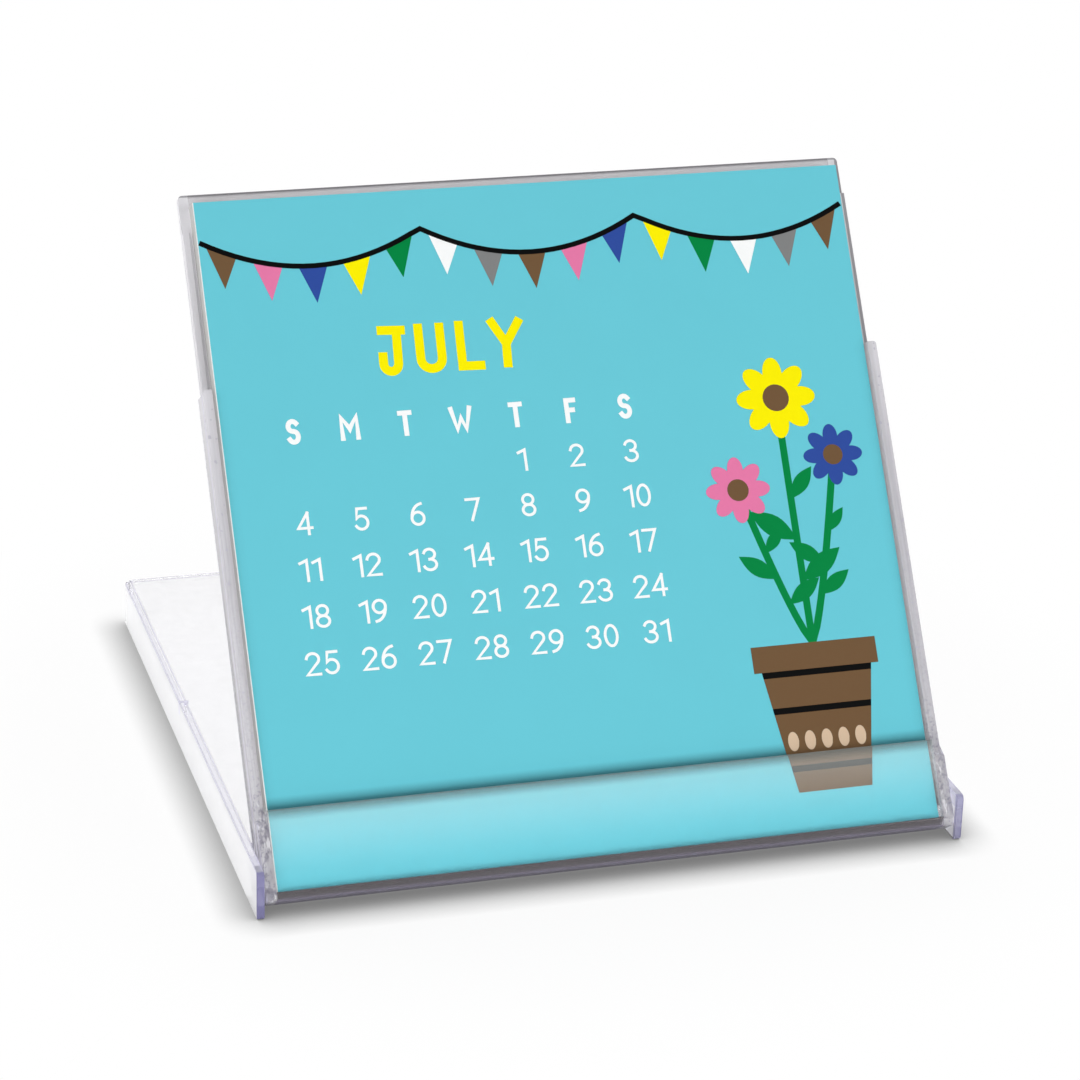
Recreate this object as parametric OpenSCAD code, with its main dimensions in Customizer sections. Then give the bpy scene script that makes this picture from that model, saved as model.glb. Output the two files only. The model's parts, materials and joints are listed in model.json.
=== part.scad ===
// Desk calendar in a clear folding case: a stand, a card tray that leans back on it, and twelve month cards.
// Millimetres, +Z up. The origin is the middle of the stand's footprint, on the table.
// The cards face -Y and the tray leans back towards +Y.

/* [Cards] */
// Width of a card
card_w = 117.5; // [90:0.5:150]
// Height of a card
card_h = 119; // [90:0.5:150]
// Thickness of a card
card_t = 0.26; // [0.18:0.01:0.35]
// Air between a card and the next one
card_gap = 0.03; // [0.02:0.01:0.06]

/* [Tray] */
// Thickness of the tray's back plate
back_t = 1.2; // [0.8:0.1:2]
// Thickness of the tray's floor
floor_t = 1.5; // [0.8:0.1:2]
// Thickness of the side rails
rail_t = 1.6; // [1:0.1:2.5]
// How far the rails reach in front of the tray's rear face
rail_front = 5.2; // [3:0.1:6]
// Height of the rails above the tray's floor
rail_h = 86; // [40:1:110]
// Radius of the rails' upper corners
rail_corner_r = 0.6; // [0.2:0.1:1.5]
// Thickness of the front lip
lip_t = 1.25; // [0.8:0.05:2]
// Height of the front lip above the tray's floor
lip_h = 13.7; // [8:0.1:30]
// How far the slanted ends of the lip start below its top
lip_end_drop = 1; // [0.2:0.1:3]
// Height of the slanted ends of the lip
lip_end_slant = 2.1; // [0.5:0.1:4]
// How far the back plate rises above the cards
back_rise = 2.4; // [1:0.1:8]
// How much narrower each side of the back plate is above the rails
back_inset = 0.45; // [0.2:0.05:1]
// Height of the low ribs in front of the back plate, along its upper edges
rib_h = 1; // [0.4:0.1:2]
// How far the low ribs stop below the back plate's top
rib_drop = 7; // [2:0.5:15]
// Radius of the back plate's upper corners
back_corner_r = 0.8; // [0.3:0.1:4]
// Radius of the tray's two lower edges
heel_r = 1.5; // [0.6:0.1:1.6]

/* [Stand] */
// Thickness of the stand's top plate
plate_t = 1.2; // [0.8:0.1:2]
// Thickness of the stand's side walls
wall_t = 1.2; // [0.9:0.1:2]
// Radius of the stand's rear corners, seen from above
rear_corner_r = 2; // [0.5:0.1:6]
// How far the stand reaches past the tray's top when the case is shut
rear_margin = 1.4; // [0.5:0.1:10]
// How far the hinge arms reach past the front of the tray's lip
arm_past = 0.1; // [0.1:0.1:6]
// Radius of the hinge arms' front corners
arm_corner_r = 0.9; // [0.3:0.1:2]
// How much thinner the rear stretch of each wall is
wall_relief = 0.25; // [0.1:0.05:0.5]
// Length of the thicker front stretch of each wall
wall_front_l = 68; // [30:1:100]

/* [Hinge] */
// How far the tray leans back from upright
lean = 34; // [25:0.5:45]
// Diameter of the hinge pins
pin_d = 2.2; // [1.6:0.1:2.6]
// How far the pins' ends stay back from the rails' inner faces
pin_short = 0.2; // [0.1:0.05:0.5]
// Distance of the hinge axis in front of the tray's rear face
axis_front = 3.6; // [3:0.1:4.5]
// Height of the hinge axis above the tray's underside
axis_up = 2.9; // [1.8:0.1:3]

/* [Clearances] */
// Sideways room between a card and a rail
card_side_room = 0.6; // [0.2:0.1:1.5]
// Room between the front card and the lip
pocket_room = 0.75; // [0.3:0.05:2]
// Room between the cards and the tray's floor
card_floor_room = 0.1; // [0.05:0.05:0.5]
// Sideways room between the tray and a hinge arm
arm_room = 0.25; // [0.15:0.05:0.5]
// Radial room round a hinge pin
pin_room = 0.05; // [0.02:0.01:0.1]
// Room between the tray's back and the plate edge that it leans on
stop_room = 0.05; // [0.02:0.01:0.1]
// Room between the lip and the plate when the case is shut
shut_room = 0.25; // [0.2:0.05:1]
// Height of the shut tray above the walls' feet
shut_lift = 0.55; // [0.3:0.05:1]

/* [Hidden] */
$fn = 64;
// Length by which a cut runs past the face that it opens
past = 1;

// Cards, named in their order from the lip to the back plate
MONTHS = ["july", "august", "september", "october", "november", "december",
          "january", "february", "march", "april", "may", "june"];
card_pitch = card_t + card_gap;
stack_d = len(MONTHS) * card_pitch;

// Tray, measured from its rear face and its underside
pocket_d = stack_d + pocket_room;
lip_front = back_t + pocket_d + lip_t;
lip_top = floor_t + lip_h;
lip_end_top = lip_top - lip_end_drop;
rail_top = floor_t + rail_h;
card_low = floor_t + card_floor_room;
tray_h = card_low + card_h + back_rise;
rib_top = tray_h - rib_drop;
pocket_half_w = card_w / 2 + card_side_room;
tray_half_w = pocket_half_w + rail_t;
upper_half_w = tray_half_w - back_inset;

// Stand, measured from the table and from the hinge axis
wall_in_x = tray_half_w + arm_room;
wall_out_x = wall_in_x + wall_t;
plate_low = shut_lift + lip_front + shut_room;
stand_h = plate_low + plate_t;
axis_z = shut_lift + axis_front;
lip_reach = (axis_up - heel_r) * sin(lean) + (lip_front - heel_r - axis_front) * cos(lean) + heel_r;
arm_reach = lip_reach + arm_past;
plate_reach = (axis_front + stop_room + (stand_h - axis_z) * sin(lean)) / cos(lean);
stand_reach = tray_h - axis_up + rear_margin;
stand_d = arm_reach + stand_reach;
axis_y = arm_reach - stand_d / 2;
front_y = axis_y - arm_reach;
rear_y = axis_y + stand_reach;
plate_y = axis_y + plate_reach;
pin_r = pin_d / 2;
pin_l = arm_room + rail_t - pin_short;

clear_colour = [0.86, 0.86, 0.94, 0.5];
card_colour = [0.42, 0.80, 0.85];

// A point of the tray's side view: distance in front of its rear face, and height above its underside
function side_point(front, up) = [-front, up];

// Stretches a side view, drawn as depth and height, across the width from x_low to x_high
module across(x_low, x_high) {
    translate([x_low, 0, 0])
        rotate([90, 0, 90])
            linear_extrude(x_high - x_low)
                children();
}

// Puts a child drawn in the tray's own frame at its resting lean on the hinge axis
module at_lean() {
    translate([0, axis_y, axis_z])
        rotate([-lean, 0, 0])
            translate([0, axis_front, -axis_up])
                children();
}

// Draws its child at the right and mirrored at the left
module both_sides() {
    children();
    mirror([1, 0, 0])
        children();
}

// Rectangle of a width and height with its lower corners rounded, standing on its middle
module round_foot(width, height, radius) {
    translate([-width / 2, radius])
        square([width, height - radius]);
    translate([-width / 2 + radius, 0])
        square([width - 2 * radius, height]);
    for (side = [-1, 1])
        translate([side * (width / 2 - radius), radius])
            circle(radius);
}

// Side view of the space that the tray's lower part fills, with its rounded lower edges
module tray_block(height) {
    translate([-lip_front / 2, 0])
        round_foot(lip_front, height, heel_r);
}

// Side view of the tray's rear, as far as a depth and a height, with its rounded lower edge
module rear_side(depth, height) {
    intersection() {
        tray_block(height);
        translate(side_point(depth, 0))
            square([depth, height]);
    }
}

// Side view of the back plate, floor and lip: a hook that holds the cards' lower edges
module hook_side() {
    difference() {
        tray_block(tray_h);
        translate(side_point(back_t + pocket_d, floor_t))
            square([pocket_d, tray_h]);
        translate(side_point(lip_front + past, lip_top))
            square([lip_front + past - back_t, tray_h]);
    }
}

// Side view of a rail, with the slanted end that carries the lip
module rail_side() {
    intersection() {
        tray_block(rail_top);
        polygon([
            side_point(0, 0),
            side_point(0, rail_top),
            side_point(rail_front, rail_top),
            side_point(rail_front, lip_end_top),
            side_point(lip_front, lip_end_top - lip_end_slant),
            side_point(lip_front, 0)
        ]);
    }
}

// Rectangle of a width and height with its upper corners rounded, standing on its middle
module round_top(width, height, radius) {
    translate([0, height])
        mirror([0, 1])
            round_foot(width, height, radius);
}

// Front view of the tray: full width as far as the rails, then narrower, with rounded upper corners
module tray_front() {
    round_top(2 * tray_half_w, rail_top, rail_corner_r);
    round_top(2 * upper_half_w, tray_h, back_corner_r);
}

// Bore that takes a hinge pin, through the right rail
module hinge_bore() {
    translate([pocket_half_w - past, -axis_front, axis_up])
        rotate([0, 90, 0])
            cylinder(r = pin_r + pin_room, h = rail_t + 2 * past);
}

// The leaning half of the case, with the pocket that the cards stand in
module card_tray() {
    color(clear_colour)
    at_lean()
    difference() {
        intersection() {
            union() {
                across(-tray_half_w, tray_half_w)
                    rear_side(back_t, tray_h);
                across(-pocket_half_w, pocket_half_w)
                    hook_side();
                both_sides()
                    across(pocket_half_w, tray_half_w)
                        rail_side();
                both_sides()
                    across(pocket_half_w, upper_half_w)
                        rear_side(back_t + rib_h, rib_top);
            }
            translate([0, past, 0])
                rotate([90, 0, 0])
                    linear_extrude(lip_front + 2 * past)
                        tray_front();
        }
        both_sides()
            hinge_bore();
    }
}

// Side view of a stand wall: its front corners are rounded
module wall_side() {
    translate([front_y, stand_h / 2])
        rotate(-90)
            round_foot(stand_h, stand_d, arm_corner_r);
}

// Plan of the stand, with its rounded rear corners
module stand_plan() {
    translate([0, front_y])
        round_top(2 * wall_out_x, stand_d, rear_corner_r);
}

// A hinge pin on the inner face of the right arm
module hinge_pin() {
    translate([wall_in_x - pin_l, axis_y, axis_z])
        rotate([0, 90, 0])
            cylinder(r = pin_r, h = pin_l + wall_t / 2);
}

// The right wall of the stand, with the thinner stretch towards the rear
module stand_wall() {
    difference() {
        across(wall_in_x, wall_out_x)
            wall_side();
        translate([wall_in_x - past, front_y + wall_front_l, -past])
            cube([wall_relief + past, stand_d, plate_low + past]);
    }
}

// The flat half of the case: the plate, its two walls, and the arms with the hinge pins
module stand() {
    color(clear_colour)
    intersection() {
        union() {
            both_sides()
                stand_wall();
            translate([-wall_out_x, plate_y, plate_low])
                cube([2 * wall_out_x, rear_y - plate_y, plate_t]);
            both_sides()
                hinge_pin();
        }
        linear_extrude(stand_h)
            stand_plan();
    }
}

// A card, counted from the lip to the back plate
module card(place) {
    color(card_colour)
    at_lean()
        translate([-card_w / 2, -back_t - stack_d + place * card_pitch, card_low])
            cube([card_w, card_t, card_h]);
}

stand();
card_tray();
for (place = [0 : len(MONTHS) - 1])
    card(place);
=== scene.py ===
"""Looks of a desk calendar: a clear folding case that leans as an easel, and twelve printed month cards.

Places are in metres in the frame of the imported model: X to the reader's right, Y to the rear, Z up.
Classes and functions whose docstrings say so hold millimetres.
"""

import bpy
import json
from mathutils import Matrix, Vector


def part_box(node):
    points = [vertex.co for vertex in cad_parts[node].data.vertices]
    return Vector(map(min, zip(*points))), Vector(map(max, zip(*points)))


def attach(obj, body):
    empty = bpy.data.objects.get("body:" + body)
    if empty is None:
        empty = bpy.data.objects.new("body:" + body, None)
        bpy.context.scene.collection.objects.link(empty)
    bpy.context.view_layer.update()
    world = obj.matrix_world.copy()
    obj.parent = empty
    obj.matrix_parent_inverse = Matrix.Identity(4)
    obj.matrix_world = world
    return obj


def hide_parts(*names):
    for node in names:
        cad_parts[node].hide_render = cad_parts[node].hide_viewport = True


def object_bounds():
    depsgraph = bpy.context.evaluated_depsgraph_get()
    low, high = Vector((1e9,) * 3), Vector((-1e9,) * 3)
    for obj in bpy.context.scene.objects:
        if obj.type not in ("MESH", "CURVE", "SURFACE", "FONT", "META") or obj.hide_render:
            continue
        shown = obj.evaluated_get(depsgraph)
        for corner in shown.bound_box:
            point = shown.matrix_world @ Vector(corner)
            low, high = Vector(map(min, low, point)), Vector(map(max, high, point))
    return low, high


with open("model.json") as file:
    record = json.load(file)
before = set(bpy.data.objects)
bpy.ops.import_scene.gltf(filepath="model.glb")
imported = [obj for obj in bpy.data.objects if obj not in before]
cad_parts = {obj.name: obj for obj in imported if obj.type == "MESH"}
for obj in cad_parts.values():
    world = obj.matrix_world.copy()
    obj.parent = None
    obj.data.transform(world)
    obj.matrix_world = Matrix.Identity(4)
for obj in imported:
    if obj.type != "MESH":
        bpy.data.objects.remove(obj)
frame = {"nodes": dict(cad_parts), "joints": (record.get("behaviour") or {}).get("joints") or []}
CAD_LOW, CAD_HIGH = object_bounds()

import calendar
import functools
import json
import logging
import math
from dataclasses import dataclass, field
from enum import Enum
from typing import Any, Iterator, Sequence, Union

import bpy
from mathutils import Matrix, Vector

log = logging.getLogger("desk_calendar")

MM = 0.001
MERGE_DISTANCE = 0.0005 * MM

# Depth up to which a corner counts as lying on a face.
FACE_SKIN = 0.1 * MM

# Distance under which two points of a drawn line are the same.
SAME_PLACE = 1e-6

# A value between none and one of a count.
BELOW_ONE = 0.5

# Mean of Blender's noise.
NOISE_MEAN = 0.5

Colour = tuple[float, float, float]
Point = tuple[float, float]
Outline = list[Point]
Socket = bpy.types.NodeSocket
Material = bpy.types.Material
Piece = bpy.types.Object


class Slot(Enum):
    """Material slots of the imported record."""

    CLEAR_CASE = "clear_case"
    CARD_STOCK = "card_stock"


class InkColour(Enum):
    """Printing inks, as red, green and blue on a screen."""

    WHITE = (252, 254, 254)
    YELLOW = (255, 242, 0)
    BROWN = (114, 87, 60)
    TAN = (217, 191, 163)
    BLACK = (6, 6, 6)
    PINK = (232, 124, 170)
    BLUE = (49, 78, 159)
    GREEN = (0, 134, 66)
    GREY = (131, 132, 132)


class CardColour(Enum):
    """Ground colours of the month cards, in the order in which they stand behind the lip."""

    JULY = (107, 203, 218)
    AUGUST = (242, 140, 96)
    SEPTEMBER = (221, 170, 70)
    OCTOBER = (205, 110, 60)
    NOVEMBER = (150, 130, 120)
    DECEMBER = (196, 70, 76)
    JANUARY = (120, 170, 214)
    FEBRUARY = (226, 132, 160)
    MARCH = (110, 190, 150)
    APRIL = (160, 145, 205)
    MAY = (150, 190, 90)
    JUNE = (90, 175, 200)

    @property
    def node(self) -> str:
        """Name of the card's node in the frame."""
        return "card_" + self.name.lower()


def linear(screen: Sequence[float]) -> Colour:
    """Turn a screen colour into the linear one that a shader takes.

    Args:
        screen: Red, green and blue from 0 to 255.

    Returns:
        The same colour as linear shares of 1.
    """
    shares = [value / 255 for value in screen]
    return tuple(s / 12.92 if s <= 0.04045 else ((s + 0.055) / 1.055) ** 2.4 for s in shares)


def joint_named(name: str) -> dict[str, Any]:
    """Find one of the frame's joints by its name."""
    return next(joint for joint in frame["joints"] if joint["name"] == name)


ACROSS = Vector((1, 0, 0))
UP_CARD = Vector(joint_named("july_slide")["axis"]).normalized()
OUT_OF_CARD = ACROSS.cross(UP_CARD)
LEAN = math.atan2(UP_CARD.y, UP_CARD.z)


def span(node: str, axis: Vector) -> tuple[float, float]:
    """Measure how far a CAD node reaches along an axis.

    Args:
        node: Name of the node in the frame.
        axis: Unit vector of the direction.

    Returns:
        The lowest and the highest reach, in metres from the origin.
    """
    reaches = [axis.dot(vertex.co) for vertex in frame["nodes"][node].data.vertices]
    return min(reaches), max(reaches)


def tray_top(outside: float) -> float:
    """Find how high the tray reaches in front of a plane that is parallel to the cards.

    Args:
        outside: Reach of the plane along the cards' outward axis, in metres.

    Returns:
        Height of the tray's highest corner there, along the leaning cards, in metres from the origin.
    """
    corners = [vertex.co for vertex in frame["nodes"]["card_tray"].data.vertices]
    return max(UP_CARD.dot(corner) for corner in corners if OUT_OF_CARD.dot(corner) > outside)


def lip_top() -> float:
    """Height of the lip's upper edge along the leaning cards, in metres from the origin."""
    return tray_top(span("card_tray", OUT_OF_CARD)[1] - FACE_SKIN)


def rail_top() -> float:
    """Height of the rails' upper ends along the leaning cards, in metres from the origin."""
    return tray_top(span("card_july", OUT_OF_CARD)[1])


class Signal:
    """A shader socket that writes the Math nodes of an expression."""

    def __init__(self, graph: "Graph", socket: Socket) -> None:
        """Wrap a node's output socket."""
        self.graph = graph
        self.socket = socket

    def __add__(self, other: "Value") -> "Signal":
        """Sum of two values."""
        return self.graph.math("ADD", self, other)

    def __radd__(self, other: "Value") -> "Signal":
        """Sum of two values."""
        return self.graph.math("ADD", other, self)

    def __sub__(self, other: "Value") -> "Signal":
        """Difference of two values."""
        return self.graph.math("SUBTRACT", self, other)

    def __rsub__(self, other: "Value") -> "Signal":
        """Difference of two values, the other way round."""
        return self.graph.math("SUBTRACT", other, self)

    def __mul__(self, other: "Value") -> "Signal":
        """Product of two values."""
        return self.graph.math("MULTIPLY", self, other)

    def __rmul__(self, other: "Value") -> "Signal":
        """Product of two values."""
        return self.graph.math("MULTIPLY", other, self)

    def __truediv__(self, other: "Value") -> "Signal":
        """Quotient of two values."""
        return self.graph.math("DIVIDE", self, other)

    def __lt__(self, other: "Value") -> "Signal":
        """1 where this value is the lower one, else 0."""
        return self.graph.math("LESS_THAN", self, other)

    def __gt__(self, other: "Value") -> "Signal":
        """1 where this value is the higher one, else 0."""
        return self.graph.math("GREATER_THAN", self, other)

    def __abs__(self) -> "Signal":
        """Size of the value without its sign."""
        return self.graph.math("ABSOLUTE", self)

    def floor(self) -> "Signal":
        """Whole number below the value."""
        return self.graph.math("FLOOR", self)

    def rise(self, low: float, high: float) -> "Signal":
        """Smooth step from 0 at low to 1 at high.

        Args:
            low: Value at which the step starts.
            high: Value at which the step ends. It may be the lower of the two.

        Returns:
            The smooth step, from 0 to 1.
        """
        turned = low > high
        sockets = {"Value": self, "From Min": min(low, high), "From Max": max(low, high)}
        stepped = self.graph.node("ShaderNodeMapRange", {"interpolation_type": "SMOOTHSTEP"}, sockets)
        step = Signal(self.graph, stepped.outputs["Result"])
        return 1 - step if turned else step

    def at_least(self, least: float) -> "Signal":
        """Squeeze a share from 0 to 1 into the range from a least share to 1.

        Args:
            least: What 0 becomes.

        Returns:
            The squeezed share.
        """
        return self * (1 - least) + least


Value = Union[Signal, float]


class Graph:
    """The node tree of a material or of the world."""

    def __init__(self, tree: bpy.types.NodeTree) -> None:
        """Take over a tree and empty it."""
        self.tree = tree
        tree.nodes.clear()

    def node(self, kind: str, settings: dict[str, Any] | None = None,
             sockets: dict[Any, Any] | None = None) -> bpy.types.Node:
        """Add a node.

        Args:
            kind: Blender's name of the node's type.
            settings: Properties of the node, which are set first. A ramp's stops are given as "stops".
            sockets: A value, a signal or another node's socket for each named or numbered input.

        Returns:
            The new node.
        """
        made = self.tree.nodes.new(kind)
        for name, setting in (settings or {}).items():
            if name == "stops":
                self.set_stops(made, setting)
            else:
                setattr(made, name, setting)
        for name, value in (sockets or {}).items():
            self.feed(made.inputs[name], value)
        return made

    @staticmethod
    def set_stops(ramp: bpy.types.Node, stops: Sequence[tuple[float, Colour]]) -> None:
        """Give a colour ramp its stops.

        Args:
            ramp: The ramp's node.
            stops: Place and linear colour of each stop.
        """
        elements = ramp.color_ramp.elements
        for place, (position, colour) in enumerate(stops):
            stop = elements[place] if place < len(elements) else elements.new(position)
            stop.position = position
            stop.color = (*colour, 1)

    def feed(self, target: Socket, value: Any) -> None:
        """Link a signal or a socket to an input, or set its plain value.

        Args:
            target: The input.
            value: Signal, socket, number, colour or vector.
        """
        if isinstance(value, Signal):
            self.tree.links.new(value.socket, target)
        elif isinstance(value, Socket):
            self.tree.links.new(value, target)
        elif target.type == "RGBA":
            target.default_value = (*value, 1)
        else:
            target.default_value = value

    def math(self, operation: str, *values: Value) -> Signal:
        """Add a Math node.

        Args:
            operation: Blender's name of the operation.
            values: Its operands.

        Returns:
            The result.
        """
        made = self.node("ShaderNodeMath", {"operation": operation}, dict(enumerate(values)))
        return Signal(self, made.outputs[0])

    def blend(self, share: Value, first: Any, second: Any) -> Socket:
        """Mix two colours.

        Args:
            share: Share of the second colour, from 0 to 1.
            first: Colour or socket at share 0.
            second: Colour or socket at share 1.

        Returns:
            The mixed colour's socket.
        """
        made = self.node("ShaderNodeMix", {"data_type": "RGBA"}, {0: share, 6: first, 7: second})
        return made.outputs[2]

    def layered(self, share: Any, under: Socket, over: Socket) -> Socket:
        """Lay one shader over another.

        Args:
            share: Share of the second shader, from 0 to 1.
            under: The first shader.
            over: The second shader.

        Returns:
            The mixed shader's socket.
        """
        return self.node("ShaderNodeMixShader", None, {0: share, 1: under, 2: over}).outputs[0]

    def places(self) -> Socket:
        """Object coordinates, in metres in the row frame."""
        return self.node("ShaderNodeTexCoord").outputs["Object"]

    def split(self, vector: Socket) -> list[Signal]:
        """Take a vector apart into its three values."""
        return [Signal(self, part) for part in self.node("ShaderNodeSeparateXYZ", None, {0: vector}).outputs]

    def leaning_places(self) -> tuple[Signal, Signal, Signal]:
        """Object coordinates along the leaning cards.

        Returns:
            Millimetres across, out of the cards' faces and up along the cards.
        """
        turned = self.node("ShaderNodeMapping", {"vector_type": "POINT"},
                           {"Vector": self.places(), "Rotation": (LEAN, 0, 0), "Scale": (1 / MM,) * 3})
        across, behind, up = self.split(turned.outputs[0])
        return across, 0 - behind, up

    def noise(self, grain: float, detail: float = 2.0, length: float = 1.0) -> Signal:
        """Cloudy noise over the surface.

        Args:
            grain: Size of its lumps, in metres.
            detail: Number of finer octaves.
            length: How many times longer the lumps are along the height of the cards.

        Returns:
            The noise, from 0 to 1.
        """
        mapped = self.node("ShaderNodeMapping", {"vector_type": "TEXTURE"},
                           {"Vector": self.places(), "Rotation": (-LEAN, 0, 0),
                            "Scale": (grain, grain, grain * length)})
        made = self.node("ShaderNodeTexNoise", {"noise_dimensions": "3D"},
                         {"Vector": mapped.outputs[0], "Scale": 1.0, "Detail": detail})
        return Signal(self, made.outputs[0])

    def line(self, value: Signal, place: float, half: float) -> Signal:
        """A soft line where a value passes a place.

        Args:
            value: The value that is followed.
            place: Where the line's middle lies.
            half: Half the line's width.

        Returns:
            1 in the line's middle, falling to 0 at its sides.
        """
        return abs(value - place).rise(half, 0.0)

    def most(self, *values: Signal) -> Signal:
        """The highest of some values."""
        return functools.reduce(lambda first, second: self.math("MAXIMUM", first, second), values)

    def bump(self, height: Signal, depth: float, strength: float = 1.0) -> Socket:
        """Turn a height into a bumped normal.

        Args:
            height: Height from 0 to 1.
            depth: Depth of the bumps, in metres.
            strength: How strongly they show.

        Returns:
            The normal's socket.
        """
        made = self.node("ShaderNodeBump", None, {"Strength": strength, "Distance": depth, "Height": height})
        return made.outputs[0]

    def open_sky(self, reach: float, power: float) -> Signal:
        """How much of the surroundings a point sees past what lies near it.

        Args:
            reach: Distance up to which things count, in metres.
            power: How steeply the shade falls off.

        Returns:
            1 in the open, falling to 0 in a corner.
        """
        sky = self.node("ShaderNodeAmbientOcclusion", None, {"Distance": reach})
        return self.math("POWER", Signal(self, sky.outputs["AO"]), power)

    def lamp_rays(self) -> Signal:
        """1 for the rays that ask how much of a lamp's light gets through."""
        return Signal(self, self.node("ShaderNodeLightPath").outputs["Is Shadow Ray"])

    def seen_rays(self) -> Signal:
        """Pick the rays that show a thing to the camera: straight, mirrored or through clear plastic.

        Returns:
            1 for such a ray, 0 for one that comes from a matt surface or asks for a lamp.
        """
        path = self.node("ShaderNodeLightPath")
        names = ("Is Camera Ray", "Is Glossy Ray", "Is Transmission Ray", "Diffuse Depth")
        camera, glossy, through, bounces = (Signal(self, path.outputs[name]) for name in names)
        return self.most(camera, glossy, through) * (bounces < BELOW_ONE)


def new_material(name: str) -> tuple[Material, Graph]:
    """Make an empty material.

    Args:
        name: The material's name.

    Returns:
        The material and its graph.
    """
    material = bpy.data.materials.new(name)
    material.use_nodes = True
    return material, Graph(material.node_tree)


@dataclass(frozen=True)
class Film:
    """A thin layer on the plastic, for cloud, spots and lines, and for painted sheen and painted shade: how
    much of it is seen, and how much lamp light it stops.
    """

    colour: Colour
    seen: float
    stops: float

    def laid(self, graph: Graph, under: Socket, where: Signal) -> Socket:
        """Lay the film over a shader.

        Args:
            graph: The material's graph.
            under: The shader.
            where: 1 where the film is full, 0 where there is none.

        Returns:
            The shader with the film.
        """
        layer = graph.node("ShaderNodeBsdfDiffuse", None, {"Color": self.colour})
        share = where * (graph.lamp_rays() * (self.stops - self.seen) + self.seen)
        return graph.layered(share, under, layer.outputs[0])


@dataclass(frozen=True)
class Speckle:
    """Spots where a noise passes a threshold, with their grain in millimetres."""

    grain: float
    start: float
    full: float
    length: float = 1.0
    detail: float = 2.0

    def spread(self, graph: Graph) -> Signal:
        """Spread the spots over a surface: 1 in a spot, 0 between the spots."""
        return graph.noise(self.grain * MM, self.detail, self.length).rise(self.start, self.full)


@dataclass(frozen=True)
class ClearPlastic:
    """Clear polystyrene: glossy, faintly violet along its length, with the ripple of a moulding."""

    ior: float = 1.58
    tint: Colour = (0.35, 0.30, 0.75)
    tint_density: float = 16.0
    lamp_share: Colour = (0.99, 0.99, 0.99)
    smooth: float = 0.015
    worn: float = 0.05
    ripple_grain: float = 7 * MM
    ripple_depth: float = 0.010
    pit_grain: float = 0.5 * MM
    pit_depth: float = 0.10
    scuffs: Speckle = Speckle(2.2, 0.45, 0.75, detail=3.0)

    def surface(self, graph: Graph, pitted: Value = 0.0, tint: Any = (1, 1, 1)) -> Socket:
        """Make the plastic's shader, which lets lamps through.

        Args:
            graph: The material's graph.
            pitted: 1 where the mould was rough, 0 where it was polished.
            tint: Colour or socket of the light that passes the surface.

        Returns:
            The shader.
        """
        ripple = graph.noise(self.ripple_grain, detail=1.0)
        pits = graph.noise(self.pit_grain)
        relief = ripple * self.ripple_depth + pits * pitted * self.pit_depth
        plastic = graph.node("ShaderNodeBsdfPrincipled", None, {
            "Base Color": tint,
            "Roughness": self.smooth + self.scuffs.spread(graph) * (self.worn - self.smooth),
            "IOR": self.ior,
            "Transmission Weight": 1.0,
            "Normal": graph.bump(relief, MM),
        })
        clear = graph.node("ShaderNodeBsdfTransparent", None, {"Color": self.lamp_share})
        return graph.layered(graph.lamp_rays(), plastic.outputs[0], clear.outputs[0])

    def close(self, graph: Graph, surface: Socket, films: Sequence[tuple[Film, Signal]]) -> None:
        """Lay the films over the plastic, and give the material its surface and its violet depth.

        Args:
            graph: The material's graph.
            surface: The plastic's shader.
            films: The films from the lowest to the topmost, each with where it lies.
        """
        for film, where in films:
            surface = film.laid(graph, surface, where)
        depth = graph.node("ShaderNodeVolumeAbsorption", None,
                           {"Color": self.tint, "Density": self.tint_density})
        graph.node("ShaderNodeOutputMaterial", None, {"Surface": surface, "Volume": depth.outputs[0]})


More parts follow.
